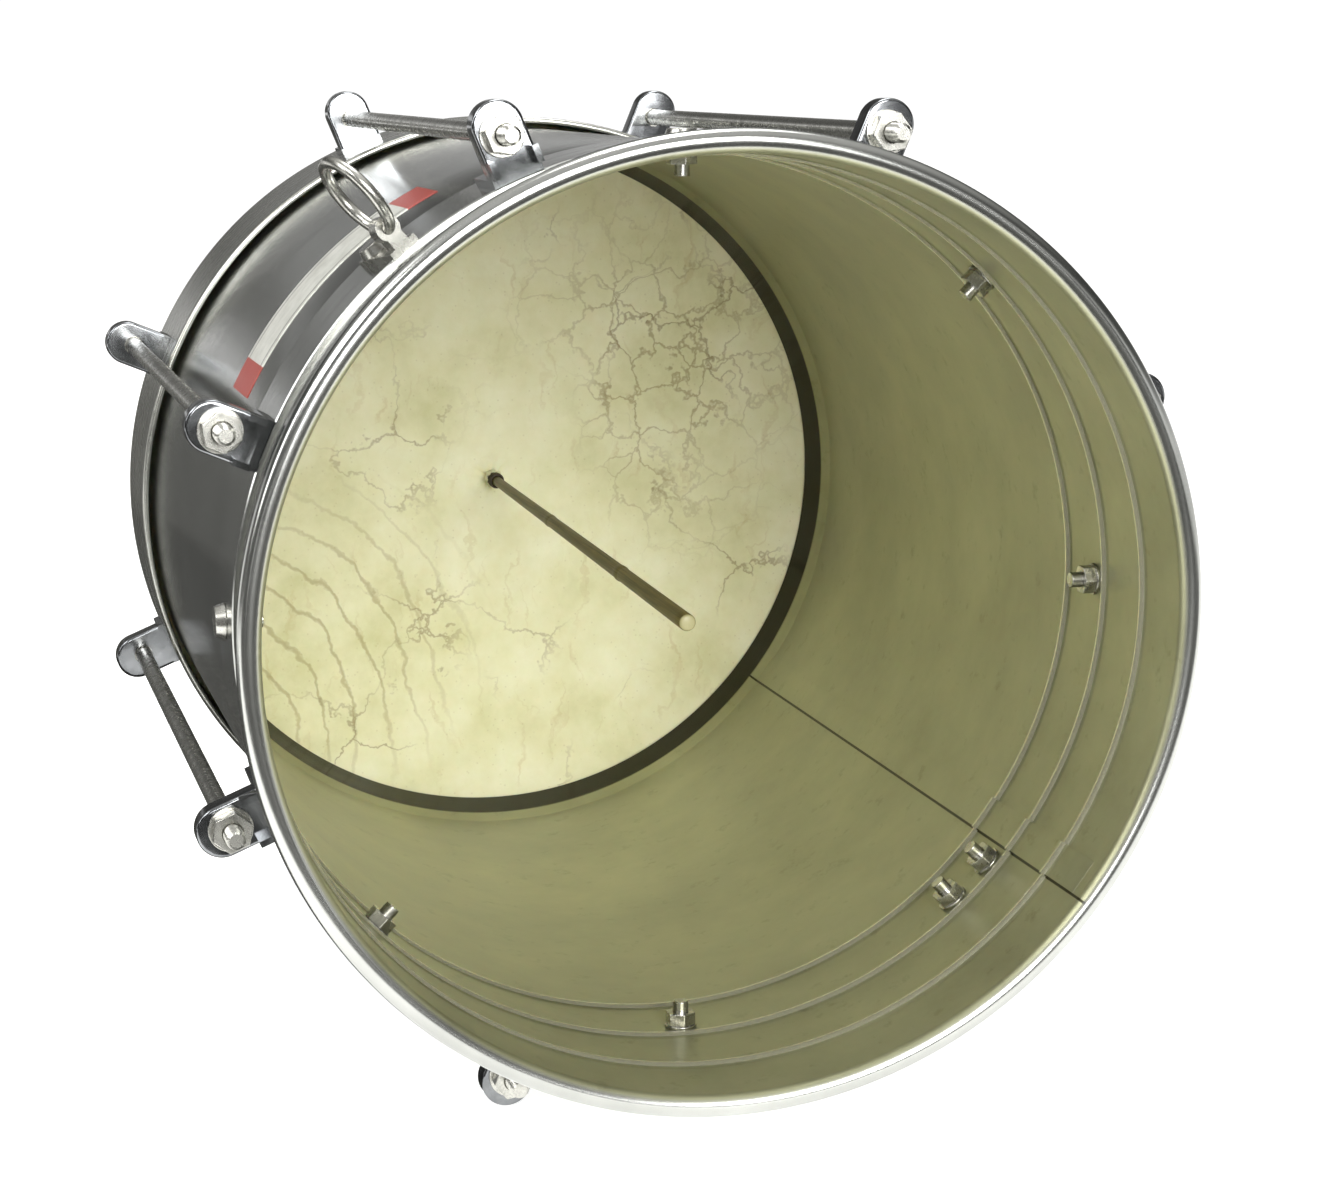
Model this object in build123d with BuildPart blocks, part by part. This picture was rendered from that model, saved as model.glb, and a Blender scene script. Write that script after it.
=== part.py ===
"""Cuica: a friction drum with a pressed steel shell, a tensioned skin head and a stick inside.

Millimetres, +Z up. The drum lies on its side with its axis along Y: the open end looks
towards -Y and the skin head towards +Y. It rests on its two lowest lugs, and the origin is
on the floor under the middle of the drum.

Angles are measured round the drum's axis from straight down, turning towards +X.
Stations are distances from the open end, along +Y.
"""
from build123d import *
from math import cos, degrees, radians, sin
import os

# ---- overall sizes ----
shell_outer_r = 115.0
drum_length = 290.0
sheet = 1.0                  # shell sheet thickness

# ---- shell ----
rim_roll_r = 3.0             # rolled wire edge at the open end
bead_stations = (24.0, 48.0, 72.0)
bead_r = 3.0
bead_height = 1.0            # how far a bead stands into the drum
lap_angle = 53.7             # where the sheet overlaps itself
lap_width = 10.0
lap_step = 0.7
shoulder_length = 10.0       # cone below the bearing edge
shoulder_depth = 4.3
edge_below_end = 2.0         # bearing edge, down from the hoop's end

# ---- lower band and its bolts ----
band_station = 40.0
band_width = 29.0
band_sheet = 1.2
band_joint_angle = 45.0
band_gap = 2.0
bolt_r = 2.0
bolt_hole_clearance = 0.2
bolt_head_r = 4.6
bolt_head_height = 2.6
bolt_end = 3.0               # bolt end standing past its nut
washer_outer_r = 4.2
washer_sheet = 0.8
washer_seat_gap = 0.1        # flat washer on the curved shell
band_nut_r = 4.04
band_nut_height = 3.2
pair_half_angle = 3.4        # the two bolts either side of the band's joint

# ---- lugs, rods and nuts ----
lug_count = 8
lug_half_width = 6.5
rod_axis_out = 12.5          # rod axis, out from the shell
lug_end_out = 21.0           # lug's outer end, out from the shell
rod_r = 2.5
rod_hole_clearance = 0.35
cup_face = 2.5               # brackets and ears are pressed cups, open towards the head
cup_wall = 1.6
cup_depth = 6.0
bracket_foot_length = 22.0
bracket_foot_sheet = 2.0
leg_sheet = 1.6
leg_length = 4.5
leg_height = 4.5
rivet_r = 2.4
rivet_height = 1.2
nut_r = 5.2                  # hexagon corners, 9 mm across flats
nut_height = 4.0
nut_fit = 0.05               # running clearance of the nut on its rod
nut_seat_gap = 0.1
rod_washer_r = 5.6
rod_end_past_nut = 7.0
rod_head_r = 4.04
rod_head_height = 4.5
rod_collar_height = 1.2

# ---- counter hoop, flesh hoop and skin ----
hoop_gap = 1.9               # counter hoop's inner face, out from the shell
hoop_sheet = 1.2
hoop_width = 48.0
hoop_roll_r = 1.0            # rolled edge towards the open end; the head edge is cut flat
lip_sheet = 1.5
ear_from_end = 25.0          # ear's outer face, down from the hoop's end
ear_leg_length = 14.0
ear_leg_sheet = 2.0
skin_thickness = 0.8
skin_tuck = 0.6
skin_gap = 0.3               # between the skin and the shell
flesh_height = 4.0
flesh_below_edge = 3.0       # flesh hoop's top, down from the bearing edge
flesh_to_hoop = 0.7

# ---- stick ----
stick_length = 238.0
stick_r_at_skin = 1.7
stick_r_at_tip = 2.4
stick_droop = 1.0            # resting tilt of its free end, in degrees, down
stick_lean = 0.3             # and towards -X
knot_r = 3.2
knot_gap = 0.3

# ---- strap ring ----
ring_angle = -139.5
ring_twist = 12.0            # how far its foot is turned on the band
ring_outer_r = 12.0
ring_wire_r = 1.5
ring_pin_out = 8.2           # ring's straight pin, out from the shell
ring_pin_fit = 0.08
ring_tube_wall = 1.6
ring_tube_length = 5.0
ring_tube_gap = 0.37         # from each end of the foot's tube to the bend of the ring
ring_station = 39.0
ring_foot_width = 8.0

# ---- label ----
label_angle = -134.0
label_station = 99.0
label_width = 28.0
label_length = 74.0
label_thickness = 0.2

# ---- derived places ----
open_end_y = -drum_length / 2
shell_inner_r = shell_outer_r - sheet
rod_circle_r = shell_outer_r + rod_axis_out
lug_end_r = shell_outer_r + lug_end_out
lug_round_r = lug_end_r - lug_half_width
lug_step = 360 / lug_count
lug_angles = [lug_step * (index + 0.5) for index in range(lug_count)]
axis_height = lug_round_r * cos(radians(lug_step / 2)) + lug_half_width

bearing_station = drum_length - edge_below_end
shoulder_station = bearing_station - sheet - shoulder_length
band_outer_r = shell_outer_r + band_sheet
band_middle = band_station + band_width / 2
foot_outer_r = band_outer_r + bracket_foot_sheet
washer_station = band_station - washer_sheet
nut_station = washer_station - nut_seat_gap - nut_height
rod_station = nut_station - rod_end_past_nut
hoop_inner_r = shell_outer_r + hoop_gap
hoop_outer_r = hoop_inner_r + hoop_sheet
hoop_station = drum_length - hoop_width
ear_station = drum_length - ear_from_end - cup_face
ear_top = ear_station + cup_face
rod_hole_r = rod_r + rod_hole_clearance

skin_station = bearing_station + skin_gap
flesh_top = bearing_station - flesh_below_edge
flesh_low = flesh_top - flesh_height
flesh_outer_r = hoop_inner_r - flesh_to_hoop

ring_pin_r = shell_outer_r + ring_pin_out
ring_mean_r = ring_outer_r - ring_wire_r
pin_half = ring_tube_length / 2 + ring_tube_gap
ring_chord = (ring_mean_r**2 - pin_half**2) ** 0.5
ring_centre_r = ring_pin_r + ring_chord
pivot_station = skin_station - knot_gap - knot_r

bolt_angles = [-90.0, -45.0, 0.0, 90.0, 135.0, 180.0, ring_angle]
bolt_angles += [band_joint_angle - pair_half_angle, band_joint_angle + pair_half_angle]


def shoulder_r(station):
    """Outer radius of the shell's cone at a station."""
    return shell_outer_r - shoulder_depth * (station - shoulder_station) / shoulder_length


def radial(angle):
    """Unit vector out from the drum's axis at an angle."""
    return Vector(sin(radians(angle)), 0, -cos(radians(angle)))


def axis_point(station):
    """Point on the drum's axis at a station."""
    return Vector(0, open_end_y + station, axis_height)


def cross_plane(station, angle=0.0):
    """Plane across the axis, local x out at the angle; a negative extrude goes to the head."""
    return Plane(origin=axis_point(station), x_dir=radial(angle), z_dir=(0, -1, 0))


def side_plane(angle, station=0.0):
    """Plane through the axis: local x is the radius and local y the station."""
    return Plane(origin=axis_point(station), x_dir=radial(angle), z_dir=-radial(angle - 90))


def out_plane(angle, station, out):
    """Plane facing out of the drum at a radius, local x along +Y."""
    origin = axis_point(station) + radial(angle) * out
    return Plane(origin=origin, x_dir=(0, 1, 0), z_dir=radial(angle))


drum_axis = Axis(axis_point(0), (0, -1, 0))
flesh_inner_r = shoulder_r(flesh_low) + skin_gap + skin_tuck
skin_edge_r = shoulder_r(bearing_station) + skin_gap
parts = []


def keep(builder, label):
    """Label a finished sub-part and put it in the list that is written out."""
    builder.part.label = label
    parts.append(builder.part)


# ---- shell: beaded wall, lap seam, cone to the bearing edge and rolled rim ----
def draw_wall(inset=0.0):
    """Draw the section of the beaded wall, moved in towards the axis by inset."""
    inner = shell_inner_r - inset
    bead_centres = [(inner - bead_height + bead_r, station) for station in bead_stations]
    wall_length = shoulder_station - rim_roll_r
    with Locations((inner, rim_roll_r)):
        Rectangle(sheet, wall_length, align=(Align.MIN, Align.MIN))
    with Locations(bead_centres):
        Circle(bead_r)
    with Locations((inner + sheet, 0)):
        Rectangle(2 * bead_r, drum_length, align=(Align.MIN, Align.MIN), mode=Mode.SUBTRACT)
    with Locations(bead_centres):
        Circle(bead_r - sheet, mode=Mode.SUBTRACT)


lap_half_angle = degrees(lap_width / shell_inner_r) / 2
with BuildPart() as lap:
    with BuildSketch(side_plane(lap_angle - lap_half_angle)):
        draw_wall(inset=lap_step)
    revolve(axis=drum_axis, revolution_arc=2 * lap_half_angle)

edge_centre_r = shoulder_r(bearing_station - sheet) - sheet
with BuildPart() as shell:
    with BuildSketch(side_plane(0)):
        draw_wall()
        with BuildLine():
            Polyline(
                (shell_inner_r, shoulder_station),
                (shell_outer_r, shoulder_station),
                (edge_centre_r + sheet, bearing_station - sheet),
                (edge_centre_r, bearing_station - sheet),
                close=True,
            )
        make_face()
        with Locations((edge_centre_r, bearing_station - sheet)):
            Circle(sheet)
        with Locations((shell_inner_r + rim_roll_r, rim_roll_r)):
            Circle(rim_roll_r)
    revolve(axis=drum_axis)
    add(lap.part)
    for angle in bolt_angles:
        with BuildSketch(out_plane(angle, band_middle, shell_inner_r - bead_r)):
            Circle(bolt_r + bolt_hole_clearance)
        extrude(amount=3 * bead_r, mode=Mode.SUBTRACT)
keep(shell, "shell")


# ---- lower band: a split ring of strip, drilled for its bolts ----
with BuildPart() as band:
    with BuildSketch(cross_plane(band_station)):
        Circle(band_outer_r)
        Circle(shell_outer_r, mode=Mode.SUBTRACT)
    extrude(amount=-band_width)
    with BuildSketch(cross_plane(band_station, band_joint_angle)):
        with Locations((band_outer_r, 0)):
            Rectangle(8 * band_sheet, band_gap)
    extrude(amount=-band_width, mode=Mode.SUBTRACT)
    for angle in bolt_angles:
        with BuildSketch(out_plane(angle, band_middle, shell_outer_r - sheet)):
            Circle(bolt_r + bolt_hole_clearance)
        extrude(amount=3 * band_sheet, mode=Mode.SUBTRACT)
keep(band, "lower_band")


# ---- band bolts with their washers and nuts inside the drum ----
bolt_washer_r = shell_inner_r - washer_seat_gap - washer_sheet
bolt_nut_r = bolt_washer_r - band_nut_height
bolt_tip_r = bolt_nut_r - bolt_end

with BuildPart() as band_bolts:
    for angle in bolt_angles:
        head_seat_r = foot_outer_r if angle == ring_angle else band_outer_r
        with BuildSketch(out_plane(angle, band_middle, bolt_tip_r)):
            Circle(bolt_r)
        extrude(amount=head_seat_r - bolt_tip_r)
        with BuildSketch(out_plane(angle, band_middle, head_seat_r)):
            Circle(bolt_head_r)
        extrude(amount=bolt_head_height, taper=18)
keep(band_bolts, "band_bolts")

with BuildPart() as bolt_washers:
    for angle in bolt_angles:
        with BuildSketch(out_plane(angle, band_middle, bolt_washer_r)):
            Circle(washer_outer_r)
            Circle(bolt_r, mode=Mode.SUBTRACT)
        extrude(amount=washer_sheet)
keep(bolt_washers, "band_bolt_washers")

with BuildPart() as bolt_nuts:
    for angle in bolt_angles:
        with BuildSketch(out_plane(angle, band_middle, bolt_nut_r)):
            RegularPolygon(radius=band_nut_r, side_count=6)
            Circle(bolt_r, mode=Mode.SUBTRACT)
        extrude(amount=band_nut_height)
keep(bolt_nuts, "band_bolt_nuts")


# ---- lug brackets: a pressed cup on a foot riveted to the band, with two short legs ----
def lug_outline(inner_r, inset=0.0):
    """Lug with a round outer end, from inner_r outwards, made narrower all round by inset."""
    half = lug_half_width - inset
    with Locations((inner_r, 0)):
        Rectangle(lug_round_r - inner_r, 2 * half, align=(Align.MIN, Align.CENTER))
    with Locations((lug_round_r, 0)):
        Circle(half)


def pressed_cup(angle, station, inner_r):
    """Cup with its face at a station and its open side towards the head."""
    with BuildPart() as cup:
        with BuildSketch(cross_plane(station, angle)):
            lug_outline(inner_r)
        extrude(amount=-cup_depth)
        with BuildSketch(cross_plane(station + cup_face, angle)):
            lug_outline(inner_r, inset=cup_wall)
        extrude(amount=-cup_depth, mode=Mode.SUBTRACT)
        with BuildSketch(cross_plane(station, angle)):
            with Locations((rod_circle_r, 0)):
                Circle(rod_hole_r)
        extrude(amount=-cup_face, mode=Mode.SUBTRACT)
        fillet(cup.edges().filter_by(GeomType.CIRCLE).group_by(Axis.Y)[0].sort_by(SortBy.LENGTH)[-1],
               radius=cup_wall / 2)
    return cup.part


def curved_pad(inner_r, outer_r):
    """Piece of a ring as wide as a lug, about local x."""
    Circle(outer_r)
    Circle(inner_r, mode=Mode.SUBTRACT)
    Rectangle(2 * outer_r, 2 * lug_half_width, align=(Align.MIN, Align.CENTER), mode=Mode.INTERSECT)


def make_bracket(angle):
    """Lug bracket at an angle."""
    flank = lug_half_width - leg_sheet / 2
    cup = pressed_cup(angle, band_station, foot_outer_r - bracket_foot_sheet / 2)
    with BuildPart() as bracket:
        add(cup)
        with BuildSketch(cross_plane(band_station, angle)):
            curved_pad(band_outer_r, foot_outer_r)
        extrude(amount=-bracket_foot_length)
        with BuildSketch(cross_plane(band_station, angle)):
            with Locations((foot_outer_r, -flank), (foot_outer_r, flank)):
                Rectangle(leg_height, leg_sheet, align=(Align.MIN, Align.CENTER))
        extrude(amount=leg_length)
    return bracket


for number, angle in enumerate(lug_angles, start=1):
    keep(make_bracket(angle), f"lug_bracket_{number}")

with BuildPart() as rivets:
    rivet_station = band_station + bracket_foot_length - 2 * rivet_r
    for angle in lug_angles:
        with BuildSketch(out_plane(angle, rivet_station, foot_outer_r)):
            Circle(rivet_r)
        extrude(amount=rivet_height, taper=20)
keep(rivets, "lug_rivets")

with BuildPart() as rod_washers:
    for angle in lug_angles:
        with BuildSketch(cross_plane(washer_station, angle)):
            with Locations((rod_circle_r, 0)):
                Circle(rod_washer_r)
                Circle(rod_hole_r, mode=Mode.SUBTRACT)
        extrude(amount=-washer_sheet)
keep(rod_washers, "rod_washers")


# ---- tension rods and nuts ----
def make_rod(angle):
    """Tension rod: threaded shank, collar and hexagon head beyond the ear."""
    with BuildPart() as rod:
        with BuildSketch(cross_plane(rod_station, angle)):
            with Locations((rod_circle_r, 0)):
                Circle(rod_r)
        extrude(amount=-(ear_top - rod_station))
        chamfer(rod.edges().sort_by(Axis.Y)[0], length=rod_r / 4)
        with BuildSketch(cross_plane(ear_top, angle)):
            with Locations((rod_circle_r, 0)):
                Circle(rod_head_r + rod_r / 5)
        extrude(amount=-rod_collar_height)
        with BuildSketch(cross_plane(ear_top + rod_collar_height, angle)):
            with Locations((rod_circle_r, 0)):
                RegularPolygon(radius=rod_head_r, side_count=6)
        extrude(amount=-rod_head_height)
    return rod


def make_nut(angle):
    """Hexagon nut on a rod, under its bracket."""
    with BuildPart() as nut:
        with BuildSketch(cross_plane(nut_station, angle)):
            with Locations((rod_circle_r, 0)):
                RegularPolygon(radius=nut_r, side_count=6)
                Circle(rod_r + nut_fit, mode=Mode.SUBTRACT)
        extrude(amount=-nut_height)
    return nut


for number, angle in enumerate(lug_angles, start=1):
    keep(make_rod(angle), f"tension_rod_{number}")
    keep(make_nut(angle), f"tension_nut_{number}")


# ---- counter hoop and its ears ----
with BuildPart() as hoop:
    with BuildSketch(side_plane(0)):
        with Locations((hoop_inner_r, hoop_station + hoop_roll_r)):
            Rectangle(hoop_sheet, hoop_width - hoop_roll_r, align=(Align.MIN, Align.MIN))
        with Locations((hoop_inner_r + hoop_sheet / 2, hoop_station + hoop_roll_r)):
            Circle(hoop_roll_r)
        with Locations((flesh_inner_r + skin_tuck, flesh_top)):
            Rectangle(
                hoop_inner_r - flesh_inner_r - skin_tuck + hoop_sheet / 2, lip_sheet,
                align=(Align.MIN, Align.MIN),
            )
    revolve(axis=drum_axis)
keep(hoop, "counter_hoop")


def make_ear(angle):
    """Ear welded to the counter hoop, with a leg lying along the hoop."""
    cup = pressed_cup(angle, ear_station, hoop_outer_r + ear_leg_sheet / 2)
    with BuildPart() as ear:
        add(cup)
        with BuildSketch(cross_plane(ear_station, angle)):
            curved_pad(hoop_outer_r, hoop_outer_r + ear_leg_sheet)
        extrude(amount=-ear_leg_length)
    return ear


for number, angle in enumerate(lug_angles, start=1):
    keep(make_ear(angle), f"hoop_ear_{number}")


# ---- flesh hoop and skin ----
with BuildPart() as flesh_hoop:
    with BuildSketch(side_plane(0)):
        with Locations((flesh_inner_r, flesh_low)):
            Rectangle(
                flesh_outer_r - flesh_inner_r, flesh_height - sheet / 2,
                align=(Align.MIN, Align.MIN),
            )
    revolve(axis=drum_axis)
keep(flesh_hoop, "flesh_hoop")

with BuildPart() as skin:
    with BuildSketch(cross_plane(skin_station)):
        Circle(skin_edge_r)
    extrude(amount=-skin_thickness)
keep(skin, "skin")

with BuildPart() as tuck:
    with BuildSketch(side_plane(0)):
        tuck_end_r = min(flesh_outer_r + skin_tuck, hoop_inner_r)
        with BuildLine():
            Polyline(
                (skin_edge_r, skin_station),
                (skin_edge_r, skin_station + skin_thickness),
                (flesh_inner_r, flesh_top - sheet / 2),
                (flesh_inner_r, flesh_low),
                (flesh_outer_r, flesh_low),
                (flesh_outer_r, flesh_top - sheet),
                (tuck_end_r, flesh_top - sheet),
                (tuck_end_r, flesh_low - skin_tuck),
                (flesh_inner_r - skin_tuck, flesh_low - skin_tuck),
                close=True,
            )
        make_face()
    revolve(axis=drum_axis)
keep(tuck, "skin_tuck")


# ---- knot in the middle of the skin, and the stick hanging a little below the axis ----
stick_dir = Vector(-sin(radians(stick_lean)), -1, -sin(radians(stick_droop))).normalized()


def stick_plane(along):
    """Plane across the stick, at a distance from the knot's centre towards the free end."""
    return Plane(origin=axis_point(pivot_station) + stick_dir * along, z_dir=stick_dir)


with BuildPart() as knot:
    with Locations(axis_point(pivot_station)):
        Sphere(knot_r)
keep(knot, "stick_knot")

stick_start = knot_r + knot_gap
with BuildPart() as stick:
    with BuildSketch(stick_plane(stick_start)):
        Circle(stick_r_at_skin)
    with BuildSketch(stick_plane(stick_start + stick_length)):
        Circle(stick_r_at_tip)
    loft()
keep(stick, "stick")


# ---- strap ring: a D of wire whose straight side turns in a foot on the band ----
foot_axis = Axis((0, 0, 0), radial(ring_angle))
ring_plane = Plane(
    origin=axis_point(band_middle),
    x_dir=radial(ring_angle),
    z_dir=-radial(ring_angle - 90).rotate(foot_axis, ring_twist),
)
ring_along = ring_station - band_middle
pin_ends = [(ring_pin_r, ring_along + pin_half), (ring_pin_r, ring_along - pin_half)]


def pin_plane(along):
    """Plane across the ring's straight pin, at a distance along the ring's plane."""
    origin = ring_plane.from_local_coords((ring_pin_r, along, 0))
    return Plane(origin=origin, x_dir=ring_plane.x_dir, z_dir=ring_plane.y_dir)


with BuildPart() as ring:
    with BuildLine(ring_plane) as loop:
        ThreePointArc(pin_ends[0], (ring_centre_r + ring_mean_r, ring_along), pin_ends[1])
    with BuildSketch(Plane(origin=loop.line @ 0, z_dir=loop.line % 0)):
        Circle(ring_wire_r)
    sweep()
    with BuildSketch(pin_plane(ring_along)):
        Circle(ring_wire_r)
    extrude(amount=pin_half, both=True)
    with Locations([ring_plane.from_local_coords((*end, 0)) for end in pin_ends]):
        Sphere(ring_wire_r)
keep(ring, "strap_ring")

tube_r = ring_wire_r + ring_pin_fit + ring_tube_wall
foot_end = bolt_head_r + ring_tube_wall
with BuildPart() as ring_foot:
    with BuildSketch(pin_plane(ring_along)):
        Circle(tube_r)
        Rectangle(ring_pin_out + sheet, 1.4 * tube_r, align=(Align.MAX, Align.CENTER))
    extrude(amount=ring_tube_length / 2, both=True)
    with BuildSketch(pin_plane(ring_along - ring_tube_length / 2)):
        with Locations((foot_outer_r - ring_pin_r, 0)):
            Rectangle(2 * bracket_foot_sheet, ring_foot_width, align=(Align.MAX, Align.CENTER))
    extrude(amount=ring_tube_length / 2 - ring_along + foot_end)
    with BuildSketch(cross_plane(band_station - band_width / 2)):
        Circle(band_outer_r)
    extrude(amount=-2 * band_width, mode=Mode.SUBTRACT)
    with BuildSketch(pin_plane(ring_along)):
        Circle(ring_wire_r + ring_pin_fit)
    extrude(amount=ring_tube_length, both=True, mode=Mode.SUBTRACT)
    with BuildSketch(out_plane(ring_angle, band_middle, shell_outer_r)):
        Circle(bolt_r + bolt_hole_clearance)
    extrude(amount=2 * bracket_foot_sheet + band_sheet, mode=Mode.SUBTRACT)
keep(ring_foot, "ring_foot")


# ---- plain label stuck on the shell ----
label_half_angle = degrees(label_length / shell_outer_r) / 2
with BuildPart() as label:
    with BuildSketch(side_plane(label_angle - label_half_angle)):
        with Locations((shell_outer_r, label_station)):
            Rectangle(label_thickness, label_width, align=(Align.MIN, Align.MIN))
    revolve(axis=drum_axis, revolution_arc=2 * label_half_angle)
keep(label, "label")


os.makedirs("parts", exist_ok=True)
for part in parts:
    export_step(part, f"parts/{part.label}.step")
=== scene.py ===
# %% [markdown]
# # A cuica in polished steel
# A cuica is a friction drum. A steel cylinder carries a tensioned skin at one end, and a thin
# bamboo stick is tied to the middle of the skin, inside. The player rubs the stick with a damp
# cloth. The CAD model gives every size and every joint, so this lesson loads it as a fixed
# frame and then builds surfaces worth looking at on top of it.

# %% Load the CAD frame
import bmesh
import bpy
import math
from mathutils import Matrix, Vector, noise


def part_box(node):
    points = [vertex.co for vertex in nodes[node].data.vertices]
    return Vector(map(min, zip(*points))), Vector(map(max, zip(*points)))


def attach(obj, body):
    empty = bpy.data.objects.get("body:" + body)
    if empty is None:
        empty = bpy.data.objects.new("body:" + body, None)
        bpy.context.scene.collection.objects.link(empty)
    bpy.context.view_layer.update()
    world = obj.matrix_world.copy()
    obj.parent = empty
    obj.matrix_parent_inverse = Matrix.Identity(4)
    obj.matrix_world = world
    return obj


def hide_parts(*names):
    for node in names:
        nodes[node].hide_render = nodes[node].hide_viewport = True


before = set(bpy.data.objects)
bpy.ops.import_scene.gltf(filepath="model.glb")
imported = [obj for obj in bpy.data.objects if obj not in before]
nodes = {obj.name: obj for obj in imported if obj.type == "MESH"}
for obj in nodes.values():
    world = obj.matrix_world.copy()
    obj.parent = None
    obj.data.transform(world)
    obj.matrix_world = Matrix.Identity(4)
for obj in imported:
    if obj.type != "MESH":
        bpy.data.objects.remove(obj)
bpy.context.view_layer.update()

# %% [markdown]
# ## Measures
# Lengths on a drum are small, so they are given in millimetres and multiplied by `MM`. The
# places come from the CAD boxes: the axis runs through the middle of the shell, along +Y, and
# a station is a distance along it from the open rim.

# %% Measures from the frame
MM = 0.001
shell_low, shell_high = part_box("shell")
skin_low, skin_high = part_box("skin")
hoop_low, hoop_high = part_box("counter_hoop")
band_low, band_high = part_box("lower_band")
AXIS_Z = (shell_low[2] + shell_high[2]) / 2
OPEN_Y = shell_low[1]
HEAD_Y = shell_high[1]
LUGS = range(1, 9)
print(f"axis height {AXIS_Z:.4f} m, shell length {HEAD_Y - OPEN_Y:.4f} m")


def station(y):
    """Distance in metres from the open rim to a y place."""
    return y - OPEN_Y


# %% [markdown]
# ## Turning on a lathe
# Most of a drum is round. A lathe piece starts as a closed outline of a few vertices, given as
# (radius, station), and `bmesh.ops.spin` turns it round the axis. A full spin merges its two
# ends, and the normals are then recalculated, because a spin can turn a shape inside out.

# %% Lathe helper
def finish_mesh(name, bm, sharp=35.0):
    """Turn a bmesh into a smooth-shaded object with edges above an angle kept sharp."""
    mesh = bpy.data.meshes.new(name)
    bm.to_mesh(mesh)
    bm.free()
    piece = bpy.data.objects.new(name, mesh)
    bpy.context.scene.collection.objects.link(piece)
    mesh.shade_smooth()
    mesh.set_sharp_from_angle(angle=math.radians(sharp))
    return piece


def lathe_mesh(outline, steps, centre=(0.0, None), start=0.0, sweep=360.0, closed=True):
    """Spin an outline of (radius, station) metres round an axis along Y."""
    centre_x = centre[0]
    centre_z = AXIS_Z if centre[1] is None else centre[1]
    turn = math.radians(start)
    bm = bmesh.new()
    ring = []
    for radius, along in outline:
        x = centre_x + radius * math.sin(turn)
        z = centre_z - radius * math.cos(turn)
        ring.append(bm.verts.new((x, OPEN_Y + along, z)))
    pairs = list(zip(ring, ring[1:]))
    if closed:
        pairs.append((ring[-1], ring[0]))
    edges = [bm.edges.new(pair) for pair in pairs]
    full = sweep >= 360.0
    if not full and closed:
        bm.faces.new(ring)
    bmesh.ops.spin(
        bm, geom=ring + edges + bm.faces[:], cent=(centre_x, 0, centre_z), axis=(0, -1, 0),
        dvec=(0, 0, 0), angle=math.radians(sweep), steps=steps, use_merge=full,
        use_duplicate=False,
    )
    bmesh.ops.remove_doubles(bm, verts=bm.verts, dist=0.004 * MM)
    bmesh.ops.recalc_face_normals(bm, faces=bm.faces)
    return bm


def arc(centre, radius, first, last, count):
    """Points of an arc in (radius, station), with angles in degrees from outwards."""
    turns = [math.radians(first + (last - first) * step / count) for step in range(count + 1)]
    return [(centre[0] + radius * math.cos(t), centre[1] + radius * math.sin(t)) for t in turns]


# %% [markdown]
# ## The shell
# The shell is one sheet of steel, rolled into a cylinder and lapped. Three beads are pressed
# into it near the open end, which stop the thin wall from ringing out of round. The open edge
# is curled outwards round a wire, and the other end is drawn in to a smooth bearing edge. A
# bead is drawn as a raised cosine, because pressed sheet has no sharp corners.

# %% Shell outline
SHEET = 1.0 * MM
OUTER_R = 115.0 * MM
INNER_R = OUTER_R - SHEET
ROLL_R = (shell_high[0] - INNER_R) / 2
BEADS = [24.0 * MM, 48.0 * MM, 72.0 * MM]
BEAD_HEIGHT = 1.0 * MM
BEAD_HALF = 3.0 * MM
LENGTH = HEAD_Y - OPEN_Y
CONE_START = LENGTH - SHEET - 10.0 * MM
CONE_SLOPE = 4.3 / 10.0
PLAIN_STATIONS = (120 * MM, 200 * MM)


def wall_radius(along, base):
    """Radius of the beaded wall or its cone at a station."""
    radius = base
    for bead in BEADS:
        if abs(along - bead) < BEAD_HALF:
            radius -= BEAD_HEIGHT * math.cos(math.pi * (along - bead) / (2 * BEAD_HALF)) ** 2
    return radius - CONE_SLOPE * max(0.0, along - CONE_START)


def wall_stations():
    """Stations that follow the beads closely and the plain wall loosely."""
    places = {ROLL_R, *PLAIN_STATIONS, CONE_START - 2 * MM, CONE_START, LENGTH - SHEET}
    for bead in BEADS:
        places.update(bead + BEAD_HALF * step / 8 for step in range(-8, 9))
    return sorted(places)


inner_side = [(wall_radius(s, INNER_R), s) for s in wall_stations()]
outer_side = [(wall_radius(s, OUTER_R), s) for s in wall_stations() if s > 2 * ROLL_R]
edge_r = wall_radius(LENGTH - SHEET, OUTER_R) - SHEET
bearing_edge = arc((edge_r, LENGTH - SHEET), SHEET, 170, 10, 10)
rim_roll = arc((INNER_R + ROLL_R, ROLL_R), ROLL_R, 131, -172, 28)
inner_side[-1] = (edge_r - SHEET, LENGTH - SHEET)
shell_outline = inner_side + bearing_edge + outer_side[::-1] + rim_roll
shell = finish_mesh("shell_sheet", lathe_mesh(shell_outline, 288), sharp=40)
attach(shell, "drum_shell")
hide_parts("shell")
print("shell faces", len(shell.data.polygons))

# %% Lap seam inside the shell
LAP_STEP = 0.7 * MM
LAP_START, LAP_SWEEP = 51.2, 5.0
SEAM_LINE = 0.35 * MM
lap_places = [6.5 * MM, 9.5 * MM] + [s for s in wall_stations()[:-2] if s > 10 * MM]
lap_inner = [(wall_radius(s, INNER_R) - LAP_STEP, s) for s in lap_places]
lap_inner[0] = (INNER_R - 0.05 * MM, lap_places[0])
lap_outer = [(wall_radius(s, INNER_R) + 0.4 * LAP_STEP, s) for s in lap_places]
lap = finish_mesh(
    "shell_lap",
    lathe_mesh(lap_inner + lap_outer[::-1], 6, start=LAP_START, sweep=LAP_SWEEP),
)
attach(lap, "drum_shell")

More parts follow.
